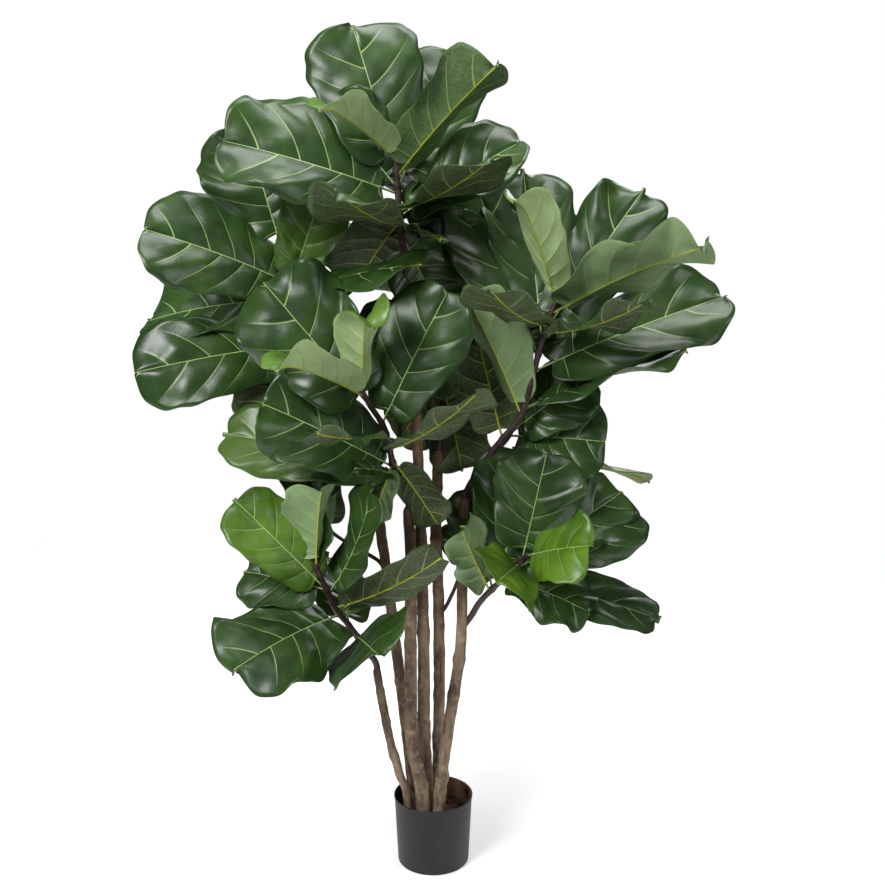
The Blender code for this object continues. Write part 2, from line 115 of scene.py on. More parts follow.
# Each leaf: its name, how it looks, the height of its foot on the shoot, its tip, the width of its blade,
# the way its upper side faces, the fold of its halves, its arch and the curl of its tip. The ones that
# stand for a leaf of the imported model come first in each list, in its order.
leaves = {
    "stem_top": [
        ("crownLeaf", "dark", 1.475, (-0.158, 0.08, 1.755), 0.23, (0.15, -1.0, 0.15), 6, 0.02, 0),
        ("crownYoungLeaf", "young", 1.5, (-0.2, -0.165, 1.595), 0.12, (0.3, 0.6, 0.75), 34, 0.03, 30),
        ("crownTurnedLeaf", "mid", 1.468, (0.118, -0.12, 1.66), 0.172, (-0.4, 0.7, 0.5), 34, 0.03, 0),
        ("crownBackLeaf", "dark", 1.445, (0.04, 0.16, 1.705), 0.19, (0.05, -1.0, 0.45), 6, 0.02, 0),
        ("crownBroadLeaf", "dark", 1.432, (-0.4, -0.03, 1.53), 0.25, (0.05, -0.75, 0.65), 18, 0.03, 0),
        ("crownForwardLeaf", "dark", 1.37, (-0.17, -0.23, 1.44), 0.165, (0.05, 0.02, 1.0), 6, -0.04, 0),
        ("crownRightForwardLeaf", "dark", 1.4, (0.108, -0.2, 1.495), 0.18,
         (-0.3, 0.3, 1.0), 8, -0.04, 0),
        ("crownInnerLeaf", "dark", 1.447, (-0.2, 0.04, 1.6), 0.17, (-0.3, -0.9, 0.3), 14, 0.02, 0),
        ("crownGlossyLeaf", "dark", 1.389, (0.173, 0.01, 1.53), 0.17, (-0.35, -0.8, 0.5), 22, 0.03, 0),
        ("crownLowBackLeaf", "dark", 1.375, (-0.16, 0.13, 1.24), 0.19, (-0.2, 0.9, 0.4), 10, 0.05, 0),
        ("crownSmallLeaf", "dark", 1.369, (0.015, -0.11, 1.346), 0.08, (0.2, 0.3, 0.9), 10, 0.03, 0),
        ("crownRearLeaf", "dark", 1.42, (-0.13, 0.28, 1.56), 0.19, (0.0, 0.7, 0.6), 8, 0.04, 0),
        ("crownRearRightLeaf", "dark", 1.4, (0.11, 0.26, 1.5), 0.18, (-0.1, 0.7, 0.6), 8, 0.04, 0),
        ("crownRearLowLeaf", "dark", 1.36, (0.04, 0.24, 1.33), 0.18, (0.0, 0.6, 0.7), 8, 0.05, 0),
        ("crownUnderLeaf", "dark", 1.34, (0.02, 0.06, 1.18), 0.17, (0.3, -0.6, -0.3), 8, 0.04, 0),
    ],
    "stem_left_upper": [
        ("leftTopLeaf", "dark", 1.328, (-0.385, 0.14, 1.56), 0.24, (0.0, -1.0, 0.3), 8, 0.02, 0),
        ("leftBroadLeaf", "dark", 1.25, (-0.57, 0.0, 1.362), 0.21, (0.1, -0.85, 0.5), 10, 0.05, 0),
        ("leftInnerLeaf", "dark", 1.225, (-0.025, -0.11, 1.3), 0.15, (0.0, -0.4, 0.9), 8, 0.03, 0),
        ("leftLowLeaf", "dark", 1.125, (-0.605, 0.0, 1.075), 0.19, (0.05, -0.9, 0.4), 8, 0.06, 0),
        ("leftUprightLeaf", "fresh", 1.248, (-0.216, 0.06, 1.45), 0.15, (0.2, -0.9, 0.1), 14, 0.02, 0),
        ("leftUnderLeaf", "dark", 1.215, (-0.6, 0.15, 1.165), 0.21, (0.0, -0.7, 0.7), 10, 0.05, 0),
        ("leftHangingLeaf", "dark", 1.1, (-0.38, 0.02, 0.964), 0.14, (0.2, 0.9, 0.3), 10, 0.04, 0),
        ("leftRearLeaf", "dark", 1.24, (-0.44, 0.33, 1.33), 0.19, (0.0, 0.7, 0.6), 8, 0.05, 0),
        ("leftRearInnerLeaf", "dark", 1.18, (-0.17, 0.33, 1.26), 0.19, (0.2, 0.7, 0.6), 8, 0.05, 0),
        ("leftRearLowLeaf", "dark", 1.09, (-0.33, 0.33, 1.09), 0.18, (0.0, 0.7, 0.6), 8, 0.05, 0),
    ],
    "stem_left_mid": [
        ("middleBroadLeaf", "dark", 1.03, (-0.325, -0.08, 1.264), 0.23,
         (-0.05, -0.95, 0.25), 6, 0.02, 0),
        ("middleYoungLeaf", "young", 1.06, (-0.119, -0.215, 1.235), 0.12,
         (-0.45, 0.7, 0.45), 40, 0.03, 105),
        ("middleYoungFrontLeaf", "young", 1.052, (-0.28, -0.29, 1.14), 0.13,
         (0.2, 0.6, 0.8), 38, 0.03, 30),
        ("middleRightLeaf", "dark", 0.99, (0.03, -0.11, 1.249), 0.19, (-0.35, -0.9, 0.25), 12, 0.02, 0),
        ("middleLowLeaf", "dark", 0.895, (-0.331, -0.12, 1.035), 0.19, (0.1, -0.85, 0.5), 10, 0.04, 0),
        ("middleForwardLeaf", "dark", 0.968, (-0.205, -0.31, 1.015), 0.14,
         (0.05, 0.25, 1.0), 6, -0.03, 0),
        ("middleRightForwardLeaf", "dark", 0.935, (0.081, -0.25, 1.075), 0.15,
         (-0.25, 0.3, 0.9), 6, -0.04, 0),
        ("middleOliveLeaf", "olive", 0.88, (-0.422, 0.0, 0.95), 0.16, (0.0, -0.8, 0.6), 12, 0.04, 0),
        ("middleSmallLeaf", "dark", 0.878, (-0.15, -0.12, 0.905), 0.07, (0.0, -0.6, 0.8), 10, 0.04, 0),
        ("middleSageLeaf", "sage", 0.9, (-0.125, -0.09, 0.79), 0.07, (0.5, 0.8, 0.1), 20, 0.03, 0),
        ("middleHangingLeaf", "dark", 0.905, (0.01, -0.06, 0.775), 0.1, (0.2, 0.8, 0.3), 12, 0.03, 0),
    ],
    "twig_left": [
        ("twigLeaf", "dark", 0.733, (-0.275, 0.0, 0.915), 0.12, (0.1, -0.95, 0.2), 10, 0.02, 0),
    ],
    "stem_low_left": [
        ("lowBrightLeaf", "bright", 0.655, (-0.385, -0.13, 0.842), 0.14, (0.3, -0.95, 0.3), 8, 0.03, 0),
        ("lowBroadLeaf", "dark", 0.59, (-0.37, -0.28, 0.555), 0.24, (0.05, -0.5, 0.87), 6, 0.05, 0),
        ("lowTurnedLeaf", "dark", 0.606, (0.02, -0.11, 0.722), 0.128, (0.1, 0.75, 0.7), 12, -0.06, 0),
        ("lowHangingLeaf", "dark", 0.532, (-0.1, -0.3, 0.59), 0.21, (-0.65, 0.0, 0.75), 6, 0.03, 0),
        ("lowYoungLeaf", "sage", 0.705, (-0.216, -0.14, 0.865), 0.17, (-0.5, 0.85, 0.0), 45, 0.03, 0),
        ("lowInnerLeaf", "dark", 0.64, (-0.12, -0.13, 0.862), 0.13, (-0.8, -0.5, 0.2), 12, -0.06, 0),
        ("lowUnderLeaf", "dark", 0.648, (-0.385, -0.05, 0.672), 0.15, (0.0, -0.8, 0.6), 12, 0.05, 0),
        ("lowNarrowLeaf", "dark", 0.684, (-0.212, 0.0, 0.853), 0.12, (-0.9, -0.4, 0.0), 10, 0.02, 0),
        ("lowSmallLeaf", "olive", 0.595, (-0.138, -0.04, 0.618), 0.055, (0.1, -0.7, 0.7), 10, 0.03, 0),
        ("lowRearLeaf", "dark", 0.56, (-0.23, 0.15, 0.64), 0.16, (0.0, 0.6, 0.7), 8, 0.05, 0),
    ],
    "stem_right_upper": [
        ("rightBroadLeaf", "dark", 1.088, (0.574, -0.02, 1.23), 0.195,
         (-0.15, -0.75, 0.65), 12, 0.03, 0),
        ("rightTallLeaf", "dark", 1.12, (0.089, 0.06, 1.442), 0.2, (0.1, -0.95, 0.25), 6, 0.02, 0),
        ("rightTurnedLeaf", "sage", 1.205, (0.49, -0.23, 1.34), 0.195,
         (-0.25, 0.66, 0.72), 22, 0.03, 0),
        ("rightYoungLeaf", "young", 1.228, (0.159, -0.18, 1.435), 0.13, (0.5, 0.7, 0.4), 38, 0.03, 30),
        ("rightBackLeaf", "dark", 1.175, (0.425, 0.08, 1.435), 0.175, (-0.1, -0.95, 0.3), 6, 0.02, 0),
        ("rightForwardLeaf", "dark", 1.178, (0.103, -0.27, 1.269), 0.16,
         (0.05, 0.04, 1.0), 8, -0.05, 0),
        ("rightFarForwardLeaf", "dark", 1.165, (0.395, -0.23, 1.245), 0.16,
         (-0.1, 0.2, 1.0), 8, -0.05, 0),
        ("rightLowEdgeLeaf", "dark", 1.01, (0.489, -0.08, 1.129), 0.17,
         (-0.1, -0.2, 0.97), 20, 0.02, 0),
        ("rightSageLeaf", "sage", 1.0, (0.068, -0.125, 1.238), 0.17, (0.5, 0.85, 0.1), 42, 0.02, 0),
        ("rightInnerLeaf", "dark", 0.945, (0.097, 0.05, 1.125), 0.17, (-0.2, 0.9, 0.1), 10, 0.03, 0),
        ("rightBehindLeaf", "dark", 1.15, (0.184, 0.09, 1.472), 0.19, (0.1, -0.95, 0.2), 8, 0.02, 0),
        ("rightRearLeaf", "dark", 1.12, (0.33, 0.26, 1.18), 0.18, (0.0, 0.7, 0.6), 8, 0.05, 0),
        ("rightRearUpperLeaf", "dark", 1.19, (0.28, 0.23, 1.33), 0.18, (0.0, 0.8, 0.5), 8, 0.04, 0),
    ],
    "stem_right_mid": [
        ("rightMiddleLeaf", "dark", 0.94, (0.352, -0.01, 0.935), 0.185, (0.0, -0.85, 0.5), 8, 0.04, 0),
        ("rightMiddleBackLeaf", "dark", 0.95, (0.318, 0.0, 1.071), 0.15, (0.1, -0.8, 0.5), 10, 0.06, 0),
        ("rightMiddleEdgeLeaf", "olive", 0.905, (0.449, 0.06, 0.838), 0.14,
         (0.0, 0.25, 0.97), 8, 0.03, 0),
    ],
    "stem_low_right": [
        ("lowRightUprightLeaf", "dark", 0.718, (0.224, -0.105, 0.93), 0.185,
         (-0.05, -0.97, 0.2), 6, 0.02, 0),
        ("lowRightBackLeaf", "dark", 0.69, (0.421, -0.04, 0.795), 0.15, (0.1, -0.8, 0.6), 8, 0.04, 0),
        ("lowRightBrightLeaf", "bright", 0.731, (0.29, -0.262, 0.79), 0.15,
         (0.1, -0.85, 0.55), 8, 0.04, 0),
        ("lowRightYoungLeaf", "bright", 0.705, (0.12, -0.292, 0.728), 0.165,
         (0.4, -0.62, 0.7), 8, 0.03, 0),
        ("lowRightOuterLeaf", "dark", 0.67, (0.45, -0.12, 0.595), 0.13, (0.1, -0.5, 0.85), 8, 0.04, 0),
        ("lowRightInnerLeaf", "dark", 0.668, (0.168, 0.01, 0.915), 0.17, (0.1, -0.9, 0.3), 8, 0.02, 0),
        ("lowRightUpperLeaf", "dark", 0.712, (0.386, -0.03, 0.835), 0.14,
         (0.1, -0.85, 0.4), 10, 0.03, 0),
        ("lowRightHangingLeaf", "dark", 0.668, (0.311, -0.16, 0.622), 0.14,
         (0.0, -0.5, 0.85), 10, 0.05, 0),
        ("lowRightPaleLeaf", "sage", 0.632, (0.056, -0.14, 0.792), 0.12, (-0.8, 0.5, 0.2), 12, 0.02, 0),
        ("lowRightDeepLeaf", "dark", 0.637, (0.077, 0.03, 0.824), 0.13, (0.2, -0.9, 0.1), 10, 0.02, 0),
        ("lowRightRearLeaf", "dark", 0.69, (0.23, 0.12, 0.74), 0.15, (0.0, 0.7, 0.6), 8, 0.05, 0),
    ],
    "stem_back": [
        ("backUpperRightLeaf", "dark", 1.262, (0.17, 0.4, 1.37), 0.19, (-0.1, 0.5, 0.85), 8, 0.05, 0),
        ("backUpperLeftLeaf", "dark", 1.225, (-0.19, 0.38, 1.33), 0.19, (0.1, 0.5, 0.85), 8, 0.05, 0),
        ("backRightLeaf", "dark", 1.18, (0.26, 0.36, 1.16), 0.19, (0.1, 0.5, 0.85), 10, 0.06, 0),
        ("backLeftLeaf", "dark", 1.16, (-0.12, 0.42, 1.1), 0.19, (0.0, 0.6, 0.8), 10, 0.06, 0),
        ("backLowLeaf", "dark", 1.08, (0.1, 0.36, 0.98), 0.18, (0.1, 0.6, 0.8), 10, 0.06, 0),
        ("backTopLeaf", "dark", 1.288, (0.0, 0.21, 1.55), 0.18, (0.0, 0.9, 0.2), 6, 0.02, 0),
        ("heartHangingLeaf", "dark", 1.21, (0.046, 0.06, 1.016), 0.17, (-0.2, 0.7, 0.5), 10, 0.04, 0),
        ("heartUpperLeaf", "dark", 1.24, (0.06, 0.02, 1.4), 0.17, (-0.2, -0.9, 0.3), 10, 0.03, 0),
        ("heartLeftLeaf", "dark", 1.17, (-0.13, 0.02, 1.13), 0.17, (0.2, -0.8, 0.5), 10, 0.04, 0),
        ("heartRightLeaf", "dark", 1.13, (0.15, 0.06, 1.06), 0.17, (-0.2, -0.8, 0.5), 10, 0.04, 0),
        ("heartLowLeaf", "dark", 1.02, (0.06, 0.02, 0.87), 0.14, (0.1, 0.8, 0.3), 12, 0.03, 0),
        ("heartLowLeftLeaf", "dark", 1.04, (-0.07, 0.04, 0.93), 0.14, (-0.1, 0.8, 0.4), 12, 0.03, 0),
    ],
    "twig_right": [
        ("twigRightLeaf", "dark", 0.655, (0.045, 0.06, 0.745), 0.09, (0.1, -0.9, 0.2), 10, 0.02, 0),
    ],
}


# Sums on sockets, and the nodes of a material.

class Sock:  # a socket that takes part in sums
    def __init__(self, kit, socket):
        self.kit = kit
        self.socket = socket

    def sum(self, operation, *others):
        return self.kit.add("ShaderNodeMath", {"operation": operation}, self, *others)

    def __add__(self, other):
        return self.sum("ADD", other)

    def __sub__(self, other):
        return self.sum("SUBTRACT", other)

    def __mul__(self, other):
        return self.sum("MULTIPLY", other)

    def __truediv__(self, other):
        return self.sum("DIVIDE", other)

    def __radd__(self, other):
        return self.sum("ADD", other)

    def __rmul__(self, other):
        return self.sum("MULTIPLY", other)

    def __rsub__(self, other):
        return self.kit.add("ShaderNodeMath", {"operation": "SUBTRACT"}, other, self)

    def abs(self):
        return self.sum("ABSOLUTE")

    def fract(self):
        return self.sum("FRACT")

    def atLeast(self, other):
        return self.sum("MAXIMUM", other)


class Kit:  # makes the nodes of one material
    def __init__(self, name):
        self.material = bpy.data.materials.new(name)
        self.material.use_nodes = True
        self.tree = self.material.node_tree
        self.shader = self.tree.nodes["Principled BSDF"]

    def add(self, kind, settings=None, *values, out=0, **named):
        node = self.tree.nodes.new(kind)
        for key, value in (settings or {}).items():
            setattr(node, key, value)
        for key, value in list(enumerate(values)) + list(named.items()):
            self.plug(node.inputs[key.replace("_", " ") if isinstance(key, str) else key], value)
        return Sock(self, node.outputs[out])

    def plug(self, socket, value):
        if isinstance(value, Sock):
            self.tree.links.new(value.socket, socket)
        elif isinstance(value, (tuple, list)) and socket.type == "RGBA":
            socket.default_value = (*value[:3], 1.0)
        else:
            socket.default_value = value

    def set(self, **values):
        for key, value in values.items():
            self.plug(self.shader.inputs[key.replace("_", " ")], value)

    def mix(self, part, first, second):
        node = self.tree.nodes.new("ShaderNodeMix")
        node.data_type = "RGBA"
        self.plug(node.inputs[0], part)
        self.plug(node.inputs[6], first)
        self.plug(node.inputs[7], second)
        return Sock(self, node.outputs[2])

    def ramp(self, value, low, high):  # 0 below low, 1 above high
        settings = {"interpolation_type": "SMOOTHSTEP"}
        return self.add("ShaderNodeMapRange", settings, value, low, high, 0.0, 1.0)

    def place(self):
        return self.add("ShaderNodeTexCoord", out=3)

    def stretched(self, height):  # Object coordinates drawn out along the height
        return self.add("ShaderNodeMapping", None, Vector=self.place(), Scale=(1.0, 1.0, height))

    def parts(self, vector):  # its x, y and z
        node = self.add("ShaderNodeSeparateXYZ", None, vector).socket.node
        return [Sock(self, output) for output in node.outputs]

    def cells(self, scale):  # 0 on the lines between small cells
        edge = {"feature": "DISTANCE_TO_EDGE"}
        return self.add("ShaderNodeTexVoronoi", edge, Vector=self.place(), Scale=scale)

    def above(self, value, limit):
        return self.add("ShaderNodeMath", {"operation": "GREATER_THAN"}, value, limit)

    def cloud(self, scale, detail=3.0, roughness=0.5, where=None):
        return self.add("ShaderNodeTexNoise", None, Vector=where or self.place(), Scale=scale,
                        Detail=detail, Roughness=roughness)

    def bump(self, height, strength, distance):
        normal = self.add("ShaderNodeBump", None, Strength=strength, Distance=distance, Height=height)
        self.set(Normal=normal)


# Leaf finishes.

# Base colours, linear: the deeper and the lighter one of the upper side, then of the underside.
leafTones = {
    "dark": ((0.013, 0.041, 0.006), (0.031, 0.076, 0.011),
             (0.04, 0.058, 0.02), (0.064, 0.092, 0.034)),
    "mid": ((0.016, 0.05, 0.008), (0.036, 0.09, 0.014),
            (0.058, 0.108, 0.034), (0.088, 0.155, 0.05)),
    "sage": ((0.016, 0.05, 0.008), (0.036, 0.09, 0.014),
             (0.155, 0.235, 0.1), (0.205, 0.305, 0.135)),
    "olive": ((0.045, 0.1, 0.014), (0.08, 0.15, 0.024),
              (0.1, 0.15, 0.045), (0.14, 0.205, 0.065)),
    "fresh": ((0.042, 0.105, 0.012), (0.085, 0.17, 0.022),
              (0.12, 0.19, 0.055), (0.165, 0.25, 0.08)),
    "bright": ((0.05, 0.12, 0.006), (0.105, 0.21, 0.012),
               (0.12, 0.21, 0.04), (0.18, 0.29, 0.06)),
    "young": ((0.06, 0.14, 0.012), (0.1, 0.2, 0.02),
              (0.35, 0.47, 0.205), (0.45, 0.59, 0.29)),
}
veinColours = {
    "lime": (0.40, 0.55, 0.19),
    "yellow": (0.38, 0.40, 0.02),
    "sage": (0.24, 0.36, 0.14),
}
veinRows = 12  # rows of the leaf's grid from one side vein to the next
veinStart = (3, 8)  # the row of the first side vein on the left half and on the right half
leafGrid = {"columns": 32, "stalkRows": 8, "bladeRows": 64}
upperLook = {
    "veinWidth": 0.032, "veinFade": 0.66, "ribWidth": 0.0019, "sideVeins": 0.65, "allVeins": 0.9,
    "patchScale": 11.0, "cellScale": 95.0, "cellShare": 0.10, "glossScale": 4.5, "ior": 1.48,
}
underLook = {
    "veinWidth": 0.042, "veinFade": 0.80, "ribWidth": 0.0034,
    "patchScale": 16.0, "cellScale": 95.0, "cellShare": 0.18, "roughness": 0.58, "ior": 1.42,
}


# Lines along the side veins and along the midrib, both from the leaf's own maps.
def veinLines(kit, look):
    across, along, _ = kit.parts(kit.add("ShaderNodeUVMap", {"uv_map": "UVMap"}))
    rows = leafGrid["stalkRows"] + leafGrid["bladeRows"]
    right = kit.above(across, 0.5)
    row = along * rows - leafGrid["stalkRows"] - veinStart[0] - right * (veinStart[1] - veinStart[0])
    cycle = ((row / veinRows + 0.5).fract() - 0.5).abs()
    out = kit.parts(kit.add("ShaderNodeUVMap", {"uv_map": "flat"}))[0].abs()
    reach = (across - 0.5).abs() * 2
    width = look["veinWidth"]
    side = 1 - kit.ramp(cycle + reach * width * 0.35, width * 0.35, width)
    side = side * (1 - kit.ramp(reach, look["veinFade"], 1.0)) * kit.above(row, -0.5)
    ribWidth = look["ribWidth"]
    rib = 1 - kit.ramp(out, ribWidth * 0.3, ribWidth - ribWidth * 0.55 * along)
    return side, rib, reach


def makeUpperFinish(tone):
    look = upperLook
    low, high, pale, _ = leafTones[tone]
    kit = Kit("leafUpper_" + tone)
    side, rib, _ = veinLines(kit, look)
    patches = kit.ramp(kit.cloud(look["patchScale"], 4.0, 0.6), 0.38, 0.66)
    net = 1 - kit.ramp(kit.cells(look["cellScale"]), 0.0, 0.10)
    colour = kit.mix(net * look["cellShare"], kit.mix(patches, low, high), pale)
    veins = (side * look["sideVeins"]).atLeast(rib * 0.9)
    colour = kit.mix(veins * look["allVeins"], colour, veinColours["lime"])
    gloss = 0.19 + 0.34 * kit.cloud(look["glossScale"], 4.0, 0.6)
    kit.set(Base_Color=colour, Roughness=gloss, IOR=look["ior"])
    wrinkles = kit.cloud(60.0, 2.0, 0.5) * 0.34 + kit.cloud(22.0, 1.0) * 1.5
    kit.bump(wrinkles - net * 0.03 - veins * 0.30, 0.5, 0.0022)
    return kit.material


def makeUnderFinish(tone):
    look = underLook
    _, _, low, high = leafTones[tone]
    kit = Kit("leafUnder_" + tone)
    side, rib, reach = veinLines(kit, look)
    patches = kit.ramp(kit.cloud(look["patchScale"], 4.0, 0.6), 0.35, 0.7)
    net = 1 - kit.ramp(kit.cells(look["cellScale"]), 0.0, 0.12)
    colour = kit.mix(net * look["cellShare"], kit.mix(patches, low, high), veinColours["sage"])
    vein = kit.mix(kit.ramp(reach, 0.15, 0.55), veinColours["yellow"], veinColours["sage"])
    colour = kit.mix(side * 0.9, colour, vein)
    colour = kit.mix(rib, colour, veinColours["yellow"])
    kit.set(Base_Color=colour, Roughness=look["roughness"], IOR=look["ior"])
    kit.bump(net * 0.5 + side * 0.8 + kit.cloud(80.0) * 0.4, 0.4, 0.001)
    return kit.material


def makeEdgeFinish(tone):
    kit = Kit("leafEdge_" + tone)
    colour = kit.mix(kit.cloud(25.0) * 0.6, leafTones[tone][1], leafTones[tone][3])
    kit.set(Base_Color=colour, Roughness=0.55)
    return kit.material


leafFinishes = {tone: [makeUpperFinish(tone), makeUnderFinish(tone), makeEdgeFinish(tone)]
                for tone in leafTones}
print("leaf finishes:", len(leafFinishes) * 3)


# The leaf.

leafShape = {
    # place in the blade, then along the midrib, along at the margin, and how far out the margin is
    "knots": [
        (0.000, 0.100, 0.085, 0.030), (0.040, 0.108, 0.060, 0.300), (0.100, 0.135, 0.100, 0.560),
        (0.190, 0.180, 0.225, 0.745), (0.300, 0.245, 0.390, 0.850), (0.430, 0.335, 0.575, 0.945),
        (0.570, 0.450, 0.745, 1.000), (0.710, 0.590, 0.880, 0.930), (0.830, 0.740, 0.962, 0.720),
        (0.920, 0.875, 0.995, 0.420), (0.970, 0.955, 1.003, 0.170), (1.000, 1.000, 1.006, 0.050)],
    "stalkRadius": 0.0024,
    "thickness": 0.0009,
    "ribDrop": 0.0022,
    "veinDepth": 0.0011,
    "pillow": 0.0026,
    "rumple": 0.0048,
    "scallop": 0.022,
    "columnPower": 1.5,
    "notch": (0.002, 0.032),  # each pair: the least and the most, drawn for each leaf
    "waist": (0.0, 0.10),
    "cup": (0.3, 1.0),
    "wave": (0.010, 0.032),
    "waveTurns": (1.3, 2.4),
    "tabShare": 0.55,
    "tabRow": 0.012,
    "curlStart": 0.72,
    "rumplesPerMetre": 22,
}


# A flat closed sheet, which every leaf is shaped from: first its upper face, then its underside.
def makeLeafBlank():
    rows = leafGrid["stalkRows"] + leafGrid["bladeRows"]
    bpy.ops.mesh.primitive_grid_add(x_subdivisions=leafGrid["columns"], y_subdivisions=rows, size=2)
    blank = bpy.context.object
    wall = blank.modifiers.new("wall", "SOLIDIFY")
    wall.thickness = 0.1
    wall.offset = -1
    wall.material_offset = 1
    wall.material_offset_rim = 2
    for _ in range(3):
        blank.data.materials.append(None)
    bpy.ops.object.modifier_apply(modifier="wall")
    bpy.ops.object.shade_smooth()
    return blank


# A smooth line through the knots, read at the places.
def smoothKnots(knots, places):
    knots = np.array(knots)
    x, y = knots[:, 0], knots[:, 1:]
    slope = np.gradient(y, x, axis=0)
    i = np.clip(np.searchsorted(x, places, side="right") - 1, 0, len(x) - 2)
    step = (x[i + 1] - x[i])[:, None]
    t = ((places - x[i]) / step[:, 0])[:, None]
    return ((1 + 2 * t) * (1 - t) ** 2 * y[i] + t * (1 - t) ** 2 * step * slope[i]
            + t * t * (3 - 2 * t) * y[i + 1] + t * t * (t - 1) * step * slope[i + 1])


def pointAtHeight(line, height):
    for low, high in zip(line, line[1:]):
        if height <= high[2] or high is line[-1]:
            low, high = Vector(low), Vector(high)
            part = (height - low.z) / (high.z - low.z)
            return low.lerp(high, min(max(part, 0.0), 1.0)), (high - low).normalized()


